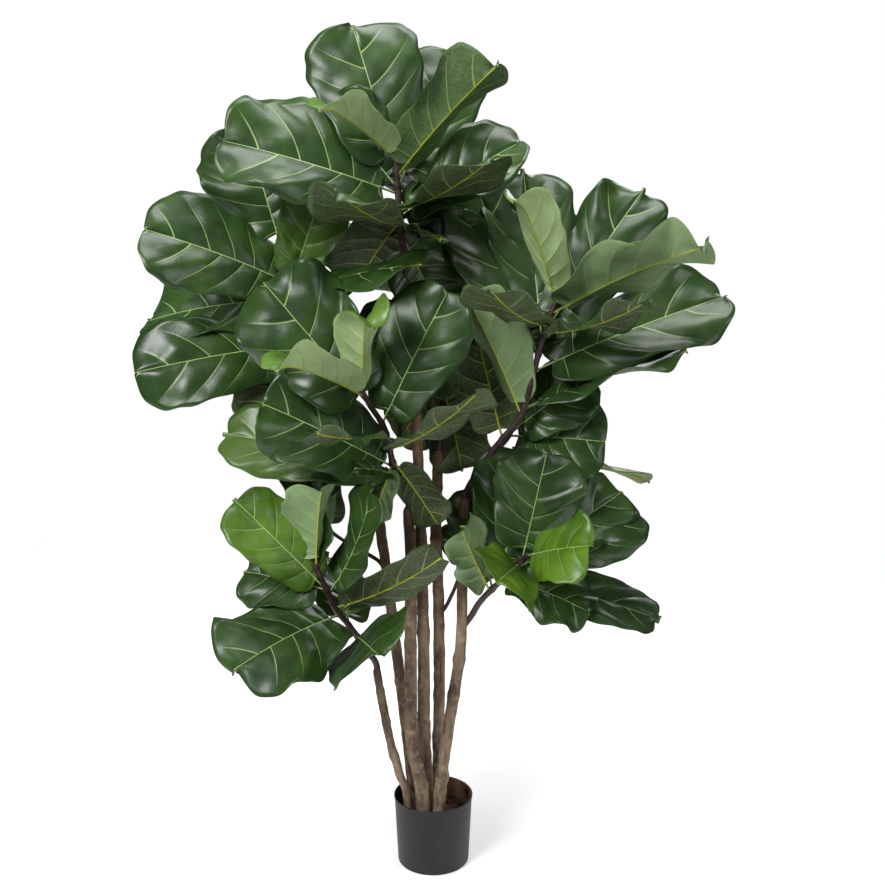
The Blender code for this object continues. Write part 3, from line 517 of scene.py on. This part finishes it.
def shapeLeaf(name, tone, start, tip, width, face, fold, arch, curl, pick):
    rows = leafGrid["stalkRows"] + leafGrid["bladeRows"]
    shape = leafShape
    leaf = bpy.data.objects.new(name, blank.data.copy())
    bpy.context.collection.objects.link(leaf)
    mesh = leaf.data
    total = len(mesh.vertices)
    flat = np.zeros(total * 3, np.float32)
    mesh.vertices.foreach_get("co", flat)
    flat = flat.reshape(-1, 3)
    q = flat[:, 0].astype(float)
    row = np.rint((flat[:, 1] + 1) / 2 * rows)
    under = np.arange(total) >= total // 2

    length = (tip - start).length
    along = (tip - start).normalized()
    up = (Vector(face) - along * Vector(face).dot(along)).normalized()
    side = along.cross(up)

    blade = (row - leafGrid["stalkRows"]) / leafGrid["bladeRows"]
    onBlade = blade >= 0
    knots = [list(k) for k in shape["knots"]]
    notch = pick.uniform(*shape["notch"])
    waist = pick.uniform(*shape["waist"])
    tab = pick.random() < shape["tabShare"]
    for k in knots:
        k[2] += notch * math.exp(-((k[3] - 0.36) / 0.22) ** 2) * (k[0] > 0.6)
        k[3] *= 1 - waist * math.exp(-((k[0] - 0.24) / 0.10) ** 2)
    outline = smoothKnots(knots, np.clip(blade, 0, 1))
    rib, margin, out = outline.T
    if tab:
        last = row >= rows - 2
        step = shape["tabRow"] * (row - rows + 2)
        rib = np.where(last, 1.0 + step, rib)
        margin = np.where(last, 1.004 + step, margin)
        out = np.where(last, 0.055, out)
    s = np.sign(q) * np.abs(q) ** shape["columnPower"]
    ripple = np.sin(blade * 36 + np.sign(q) * 1.7 + start.x * 60)
    ripple *= np.clip(blade * 5, 0, 1) * np.clip((1 - blade) * 8, 0, 1)
    wide = out * (1 + shape["scallop"] * ripple) * width / 2
    stalk = shape["stalkRadius"]
    angle = q * math.pi / 2
    stalkPart = np.clip(row / leafGrid["stalkRows"], 0, 1)
    bent = 0.55 * np.abs(s) + 0.45 * s * s
    place = np.where(onBlade, rib + (margin - rib) * bent, knots[0][1] * stalkPart)
    x = np.where(onBlade, s * wide, stalk * np.sin(angle))
    join = np.clip(blade * 14, 0, 1)  # from the round stalk to the flat blade
    x = np.where(onBlade, x + (1 - join) * (stalk * np.sin(angle)) * (1 - np.abs(s)), x)

    # how far the blade rises from the midrib: fold, arch of the halves, waves, pillows and veins
    reach = np.abs(x)
    fromRib = np.abs(s)
    cup = pick.uniform(*shape["cup"])
    wave = pick.uniform(*shape["wave"])
    left = pick.uniform(0, 6.28)
    right = pick.uniform(0, 6.28)
    turns = pick.uniform(*shape["waveTurns"])
    phase = np.where(q < 0, left, right)
    first = np.where(q > 0, veinStart[1], veinStart[0])
    cycle = (row - leafGrid["stalkRows"] - first) / veinRows
    toVein = np.abs((cycle + 0.5) % 1.0 - 0.5)
    fade = 1 - np.clip((fromRib - 0.55) / 0.45, 0, 1)
    lift = reach * math.tan(math.radians(fold))
    lift -= cup * reach * fromRib * 0.22
    swing = np.sin(turns * 2 * math.pi * blade + phase) * np.clip(blade * 4, 0, 1)
    lift += wave * width * 4 * fromRib ** 2.5 * swing
    swell = np.sin(np.clip(toVein * 2, 0, 1) * math.pi / 2)
    lift += shape["pillow"] * swell * np.clip(fromRib * 5, 0, 1) * fade
    lift -= shape["veinDepth"] * np.exp(-(toVein * veinRows / 0.6) ** 2) * fade * (fromRib > 0)
    lift = np.where(onBlade, lift * np.clip(join + 0.2, 0, 1), 0)
    seed = Vector((pick.uniform(0, 50), pick.uniform(0, 50), 0))
    density = shape["rumplesPerMetre"]
    rumple = np.array([noise.noise(Vector((px * density, py * length * density, 0)) + seed)
                       for px, py in zip(x[~under], place[~under])])
    lift += np.tile(rumple, 2) * shape["rumple"] * np.clip(fromRib * 3, 0, 1) * onBlade

    # thickness down from the upper face: the round stalk, then a thin blade with the midrib under it
    ribRadius = stalk * (1 - 0.65 * np.clip(place, 0, 1))
    keel = np.sqrt(np.clip(1 - (reach / ribRadius) ** 2, 0, 1)) * ribRadius
    bar = stalk * np.cos(angle)
    sheet = shape["thickness"] + shape["ribDrop"] * keel / stalk
    thick = np.where(onBlade, sheet + (1 - join) * bar, 2 * bar)
    top = np.where(onBlade, (1 - join) * bar * 0.6, bar)
    lift = lift + top - np.where(under, np.maximum(thick, 0.0003), 0)

    steps = np.linspace(0, 1.1, 200)
    part = np.clip((steps - shape["curlStart"]) / (1 - shape["curlStart"]), 0, 1.4)
    curling = math.radians(curl) * part * part * (3 - 2 * np.clip(part, 0, 1))
    bend = np.arctan(4 * arch * (1 - 2 * steps)) - curling
    run = np.concatenate([[0], np.cumsum(np.cos(bend[:-1])) * steps[1]])
    rise = np.concatenate([[0], np.cumsum(np.sin(bend[:-1])) * steps[1]])
    runs, rises, bends = (np.interp(place, steps, values) for values in (run, rise, bend))
    spread = 1 / math.sqrt(1 + math.tan(math.radians(fold)) ** 2)
    lift = np.where(onBlade, lift * spread, lift)
    x3 = np.where(onBlade, x * spread, x)
    axes = np.array([along, up, side])
    forward = runs * length - np.sin(bends) * lift
    upward = rises * length + np.cos(bends) * lift
    places = np.stack([forward, upward, x3], 1)
    final = places @ axes + np.array(start)
    mesh.vertices.foreach_set("co", final.astype(np.float32).ravel())

    flatMap = mesh.uv_layers.new(name="flat")
    corner = np.zeros(len(mesh.loops), np.int32)
    mesh.loops.foreach_get("vertex_index", corner)
    metres = np.stack([x, place * length], 1)[corner]
    flatMap.data.foreach_set("uv", metres.astype(np.float32).ravel())
    for i, finish in enumerate(leafFinishes[tone]):
        mesh.materials[i] = finish
    mesh.update()
    return leaf


def growLeaves():
    grown = 0
    for shoot, rows in leaves.items():
        trunk, how, radius, line = shoots[shoot]
        if how == "top":
            line = [trunks[trunk][2][-1]] + line
        for number, (name, tone, height, tip, *form) in enumerate(rows, 1):
            foot, grain = pointAtHeight(line, height)
            tip = Vector(tip)
            outwards = (tip - foot) - grain * (tip - foot).dot(grain)
            start = foot + outwards.normalized() * radius * 0.6
            leaf = shapeLeaf(name, tone, start, tip, *form, random.Random(name))
            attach(leaf, "root")
            node = "leaf_" + shoot.removeprefix("stem_") + "_" + str(number)
            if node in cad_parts:
                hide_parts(node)
            grown += 1
    return grown


blank = makeLeafBlank()
print("leaves:", growLeaves())
bpy.data.objects.remove(blank, do_unlink=True)


# Trunks and shoots.

# Places a gap apart along a smooth line through the points.
def smoothLine(points, gap):
    points = [np.array(p, float) for p in points]
    points = [2 * points[0] - points[1]] + points + [2 * points[-1] - points[-2]]
    line = []
    for a, b, c, d in zip(points, points[1:], points[2:], points[3:]):
        count = max(2, round(np.linalg.norm(c - b) / gap))
        for i in range(count):
            t = i / count
            line.append(0.5 * (2 * b + (c - a) * t + (2 * a - 5 * b + 4 * c - d) * t * t
                               + (3 * b - a - 3 * c + d) * t ** 3))
    line.append(points[-2])
    return line


# A closed round bar along the line, made from a curve.
def tube(name, line, radii, sides):
    curve = bpy.data.curves.new(name, "CURVE")
    curve.dimensions = "3D"
    curve.bevel_depth = 1.0
    curve.bevel_resolution = (sides - 4) // 2
    curve.use_fill_caps = True
    spline = curve.splines.new("POLY")
    spline.points.add(len(line) - 1)
    for knot, place, radius in zip(spline.points, line, radii):
        knot.co = (*place, 1.0)
        knot.radius = radius
    bar = bpy.data.objects.new(name, curve)
    bpy.context.collection.objects.link(bar)
    bpy.ops.object.select_all(action="DESELECT")
    bar.select_set(True)
    bpy.context.view_layer.objects.active = bar
    bpy.ops.object.convert(target="MESH")
    bpy.ops.object.mode_set(mode="EDIT")
    bpy.ops.mesh.select_all(action="SELECT")
    bpy.ops.mesh.remove_doubles(threshold=0.00002)
    bpy.ops.mesh.normals_make_consistent(inside=False)
    bpy.ops.object.mode_set(mode="OBJECT")
    bpy.ops.object.shade_smooth_by_angle(angle=math.radians(50))
    return bpy.context.object


# Moves the skin in and out by a cloud that is drawn out along the height.
def roughen(piece, size, depth, stretch):
    mesh = piece.data
    for vert in mesh.vertices:
        where = Vector((vert.co.x / size, vert.co.y / size, vert.co.z / size / stretch))
        vert.co += vert.normal * depth * noise.fractal(where, 0.9, 2.1, 4)
    mesh.update()


barkColours = {
    "deep": (0.095, 0.061, 0.038),
    "light": (0.265, 0.190, 0.128),
    "worn": (0.38, 0.30, 0.215),
    "cracks": (0.045, 0.028, 0.020),
    "upperRed": (0.13, 0.055, 0.032),
    "shootDark": (0.018, 0.010, 0.010),
    "shootRed": (0.060, 0.028, 0.026),
}


def makeBarkFinish():
    kit = Kit("bark")
    high = kit.parts(kit.place())[2]
    streaks = kit.cloud(150.0, 6.0, 0.65, kit.stretched(0.16))
    patches = kit.cloud(26.0, 4.0, 0.6, kit.stretched(0.45))
    worn = kit.ramp(kit.cloud(48.0, 5.0, 0.6), 0.52, 0.68)
    colour = kit.mix(kit.ramp(patches, 0.36, 0.62), barkColours["deep"], barkColours["light"])
    colour = kit.mix(worn * 0.55, colour, barkColours["worn"])
    colour = kit.mix(kit.ramp(streaks, 0.48, 0.30) * 0.75, colour, barkColours["cracks"])
    colour = kit.mix(kit.ramp(high, 0.45, 1.0) * 0.55, colour, barkColours["upperRed"])
    kit.set(Base_Color=colour, Roughness=0.82, IOR=1.4)
    kit.bump(streaks + kit.cloud(300.0, 3.0, 0.6) * 0.3, 0.8, 0.0015)
    return kit.material


def makeShootFinish():
    kit = Kit("shootBark")
    grain = kit.stretched(0.3)
    streaks = kit.ramp(kit.cloud(120.0, 4.0, 0.6, grain), 0.35, 0.7)
    colour = kit.mix(streaks, barkColours["shootDark"], barkColours["shootRed"])
    kit.set(Base_Color=colour, Roughness=0.5, IOR=1.45)
    kit.bump(kit.cloud(220.0, 4.0, 0.6, grain), 0.5, 0.001)
    return kit.material


barkFinish = makeBarkFinish()
shootFinish = makeShootFinish()
trunkNames = {
    "trunk_far_left": "thinLeftTrunk", "trunk_left": "leftTrunk", "trunk_front": "frontTrunk",
    "trunk_tall": "tallTrunk", "trunk_back": "backTrunk", "trunk_right": "rightTrunk",
}
woodShape = {
    "gap": 0.004,  # from one ring of the skin to the next
    "knots": 7,
    "knotPlace": (0.1, 0.95),
    "knotSwell": (0.06, 0.16),
    "knotLength": (0.006, 0.014),
    "topLength": 0.03,  # a trunk's cut top narrows over this length
    "shootTaper": 0.22,
    "scarSwell": 0.16,
    "scarLength": 0.006,
    "tipLength": 0.012,
    "socketDepth": 0.015,  # a shoot starts this far down in the trunk's top
}


def finishWood(piece, finish, node):
    piece.data.materials.clear()
    piece.data.materials.append(finish)
    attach(piece, "root")
    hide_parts(node)


def growTrunk(node):
    foot, top, points = trunks[node]
    shape = woodShape
    gap = shape["gap"]
    pick = random.Random(node)
    line = smoothLine(points, gap)
    count = len(line)
    knots = []
    for _ in range(shape["knots"]):
        place = pick.uniform(*shape["knotPlace"])
        swell = pick.uniform(*shape["knotSwell"])
        knots.append((place, swell, pick.uniform(*shape["knotLength"])))
    radii = []
    for i in range(count):
        part = i / (count - 1)
        radius = foot + (top - foot) * part
        reach = part * count * gap
        for place, swell, width in knots:
            radius *= 1 + swell * math.exp(-((reach - place * count * gap) / width) ** 2)
        left = (count - 1 - i) * gap
        radii.append(radius * min(1.0, 0.72 + left / shape["topLength"]))
    trunk = tube(trunkNames[node], line, radii, 24)
    roughen(trunk, 0.016, 0.0014, 2.6)
    finishWood(trunk, barkFinish, node)


def growShoot(node):
    parent, how, radius, points = shoots[node]
    shape = woodShape
    gap = shape["gap"]
    source = trunks[parent][2] if parent in trunks else shoots[parent][3]
    if how == "top":
        before, end = Vector(source[-2]), Vector(source[-1])
        along = (end - before).normalized()
        points = [tuple(end - along * shape["socketDepth"]), tuple(end + along * 0.012)] + points
    else:
        near, _ = pointAtHeight(source, points[0][2] - 0.022)
        points = [tuple(near)] + points
    line = smoothLine(points, gap)
    count = len(line)
    scars = [np.array(pointAtHeight(points, row[2])[0]) for row in leaves.get(node, [])]
    radii = []
    for i, place in enumerate(line):
        size = radius * (1 - shape["shootTaper"] * i / (count - 1))
        for scar in scars:
            away = np.linalg.norm(place - scar) / shape["scarLength"]
            size *= 1 + shape["scarSwell"] * math.exp(-away ** 2)
        size *= min(1.0, 0.45 + (count - 1 - i) * gap / shape["tipLength"])
        radii.append(size)
    kind, *rest = node.split("_")
    name = "shoot" if kind == "stem" else kind
    shoot = tube(name + "".join(word.capitalize() for word in rest), line, radii, 16)
    roughen(shoot, 0.010, 0.0005, 2.0)
    finishWood(shoot, shootFinish, node)


for node in trunks:
    growTrunk(node)
print("trunks:", len(trunks))

for node in shoots:
    growShoot(node)
print("shoots:", len(shoots))


# Pot and filler.

pot = {
    "height": 0.153, "baseRadius": 0.077, "rimRadius": 0.085, "wall": 0.002, "floor": 0.003, "sides": 96,
    "plastic": ((0.010, 0.0112, 0.0116), (0.021, 0.0225, 0.023)),
    # the tan painted on the right half of the inner wall
    "dust": (0.290, 0.190, 0.125),
}
filler = {
    "foot": 0.004, "footRadius": 0.072, "wallRings": 8, "topRings": 26, "sides": 90, "lump": 0.0045,
    "cement": ((0.055, 0.026, 0.017), (0.19, 0.105, 0.070)),
}


# A solid of revolution from one closed outline that starts and ends on the axis.
def spinProfile(name, outline, sides):
    bpy.ops.mesh.primitive_plane_add(size=0.01)
    piece = bpy.context.object
    piece.name = name
    piece.data.clear_geometry()
    edges = [(i, i + 1) for i in range(len(outline) - 1)]
    piece.data.from_pydata([(r, 0.0, z) for r, z in outline], edges, [])
    bpy.ops.object.mode_set(mode="EDIT")
    bpy.ops.mesh.select_all(action="SELECT")
    bpy.ops.mesh.spin(steps=sides, angle=2 * math.pi, center=(0, 0, 0), axis=(0, 0, 1))
    bpy.ops.mesh.select_all(action="SELECT")
    bpy.ops.mesh.remove_doubles(threshold=0.00001)
    bpy.ops.mesh.normals_make_consistent(inside=False)
    bpy.ops.object.mode_set(mode="OBJECT")
    bpy.ops.object.shade_smooth_by_angle(angle=math.radians(35))
    return piece


def makePotFinish():
    kit = Kit("potPlastic")
    scuffs = kit.cloud(70.0, 6.0, 0.7, kit.stretched(0.35))
    colour = kit.mix(kit.ramp(scuffs, 0.45, 0.75), *pot["plastic"])
    x, y, z = kit.parts(kit.place())
    ring = kit.add("ShaderNodeMath", {"operation": "SQRT"}, x * x + y * y)
    inside = kit.ramp(ring - z * 0.0557, 0.0751, 0.0746)  # the inner wall leans by 0.0557
    # a tan colour painted in cloudy patches on the right half of the inner wall; the rest of the inside
    # keeps the plastic colour
    dust = inside * kit.ramp(x, -0.030, 0.020) * kit.ramp(kit.cloud(34.0, 5.0, 0.6), 0.28, 0.48)
    colour = kit.mix(dust * 0.9, colour, pot["dust"])
    kit.set(Base_Color=colour, Roughness=0.44 + 0.2 * scuffs, IOR=1.39)
    kit.bump(kit.cloud(900.0, 2.0, 0.5), 0.25, 0.0004)
    return kit.material


def makeFillerFinish():
    kit = Kit("fillerCement")
    lumps = kit.cloud(90.0, 6.0, 0.65)
    colour = kit.mix(kit.ramp(lumps, 0.35, 0.65), *filler["cement"])
    kit.set(Base_Color=colour, Roughness=0.95, IOR=1.35)
    kit.bump(lumps + kit.cloud(400.0) * 0.4, 1.0, 0.003)
    return kit.material


base = pot["baseRadius"]
rim = pot["rimRadius"]
height = pot["height"]
innerRim = rim - pot["wall"]
innerBase = base - pot["wall"]
shell = spinProfile("nurseryPot", [
    (0.0, 0.0), (base - 0.004, 0.0), (base - 0.0012, 0.0006), (base, 0.0025),
    (rim - 0.0012, height - 0.007), (rim - 0.0008, height - 0.0055),  # up to the rolled rim
    (rim, height - 0.0045), (rim + 0.0002, height - 0.0012), (rim - 0.0006, height - 0.0002),
    (rim - 0.0014, height), (innerRim + 0.0002, height - 0.0004), (innerRim - 0.0004, height - 0.0015),
    (innerRim - 0.0012, height - 0.008), (innerBase - 0.001, pot["floor"] + 0.002),
    (innerBase - 0.003, pot["floor"]), (0.0, pot["floor"])], pot["sides"])
shell.data.materials.append(makePotFinish())
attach(shell, "root")
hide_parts("pot")

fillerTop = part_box("filler")[1].z - 0.002
fillerRadius = base + (rim - base) * 0.68 - pot["wall"] - 0.002
foot = filler["foot"]
footRadius = filler["footRadius"]
outline = [(0.0, foot), (footRadius, foot)]
for i in range(1, filler["wallRings"] + 1):
    outline.append((footRadius + (fillerRadius - footRadius) * i / filler["wallRings"],
                    foot + (fillerTop - foot) * i / filler["wallRings"]))
for i in range(1, filler["topRings"] + 1):
    outline.append((fillerRadius * (1 - i / filler["topRings"]), fillerTop))
plug = spinProfile("potFiller", outline, filler["sides"])
for vert in plug.data.vertices:
    ring = math.hypot(vert.co.x, vert.co.y)
    if vert.co.z > fillerTop - 0.001:
        lump = noise.fractal(Vector((vert.co.x * 55, vert.co.y * 55, 3.0)), 0.8, 2.0, 5)
        vert.co.z += filler["lump"] * lump - 0.001 + 0.003 * (ring / fillerRadius) ** 4
plug.data.update()
plug.data.materials.append(makeFillerFinish())
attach(plug, "root")
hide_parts("filler")
print("pot and filler done")


# Floor, lights and camera.

# Each light: its place, what it points at, its two sizes and its power.
lights = {
    "keyLight": ((-1.9, -2.4, 3.1), (0, 0, 1.1), (1.4, 1.4), 136),
    "fillLight": ((2.6, -2.2, 2.0), (0, 0, 1.0), (1.4, 1.8), 32),
    "topLight": ((0.1, 0.1, 3.6), (0, 0, 1.0), (1.6, 1.6), 62),
    "backLight": ((0.8, 2.6, 2.6), (0, 0, 1.1), (1.8, 1.8), 40),
}
studio = {
    "floorGlow": 0.42, "floorFade": (1.5, 3.0), "skyLight": 0.13,
    "cameraPlace": (0.02, -2.50, 1.463), "cameraTilt": 78, "lens": 50.85,
}
def makeFloor():
    bpy.ops.mesh.primitive_plane_add(size=60, location=(0, 0, -0.0005))
    floor = bpy.context.object
    floor.name = "studioFloor"
    kit = Kit("studioFloor")
    away = kit.add("ShaderNodeVectorMath", {"operation": "LENGTH"}, kit.place(), out=1)
    fade = 1 - kit.ramp(away, *studio["floorFade"])
    kit.set(Base_Color=(0.85, 0.85, 0.85), Roughness=0.9, Emission_Color=(1.0, 1.0, 1.0),
            Emission_Strength=studio["floorGlow"], Alpha=fade)
    floor.data.materials.append(kit.material)


def softbox(name, place, aim, size, power):
    light = bpy.data.lights.new(name, "AREA")
    light.shape = "RECTANGLE"
    light.size, light.size_y = size
    light.energy = power
    box = bpy.data.objects.new(name, light)
    bpy.context.collection.objects.link(box)
    box.location = place
    aimed = (Vector(aim) - Vector(place)).to_track_quat("-Z", "Y")
    box.rotation_euler = aimed.to_euler()


def makeSky():
    world = bpy.data.worlds.new("studioWhite")
    bpy.context.scene.world = world
    world.use_nodes = True
    tree = world.node_tree
    back = tree.nodes["Background"]
    back.inputs["Color"].default_value = (1.0, 1.0, 1.0, 1.0)
    back.inputs["Strength"].default_value = studio["skyLight"]
    seen = tree.nodes.new("ShaderNodeBackground")
    seen.inputs["Color"].default_value = (1.0, 1.0, 1.0, 1.0)
    seen.inputs["Strength"].default_value = 1.0
    path = tree.nodes.new("ShaderNodeLightPath")
    choose = tree.nodes.new("ShaderNodeMixShader")
    tree.links.new(path.outputs["Is Camera Ray"], choose.inputs[0])
    tree.links.new(back.outputs[0], choose.inputs[1])
    tree.links.new(seen.outputs[0], choose.inputs[2])
    tree.links.new(choose.outputs[0], tree.nodes["World Output"].inputs[0])


makeFloor()
makeSky()
for name, settings in lights.items():
    softbox(name, *settings)

camera = bpy.data.objects.new("camera", bpy.data.cameras.new("camera"))
bpy.context.collection.objects.link(camera)
camera.location = studio["cameraPlace"]
camera.rotation_euler = (math.radians(studio["cameraTilt"]), 0, 0)
camera.data.lens = studio["lens"]
bpy.context.scene.camera = camera
bpy.context.scene.view_settings.view_transform = "Standard"
print("floor, lights and camera done")
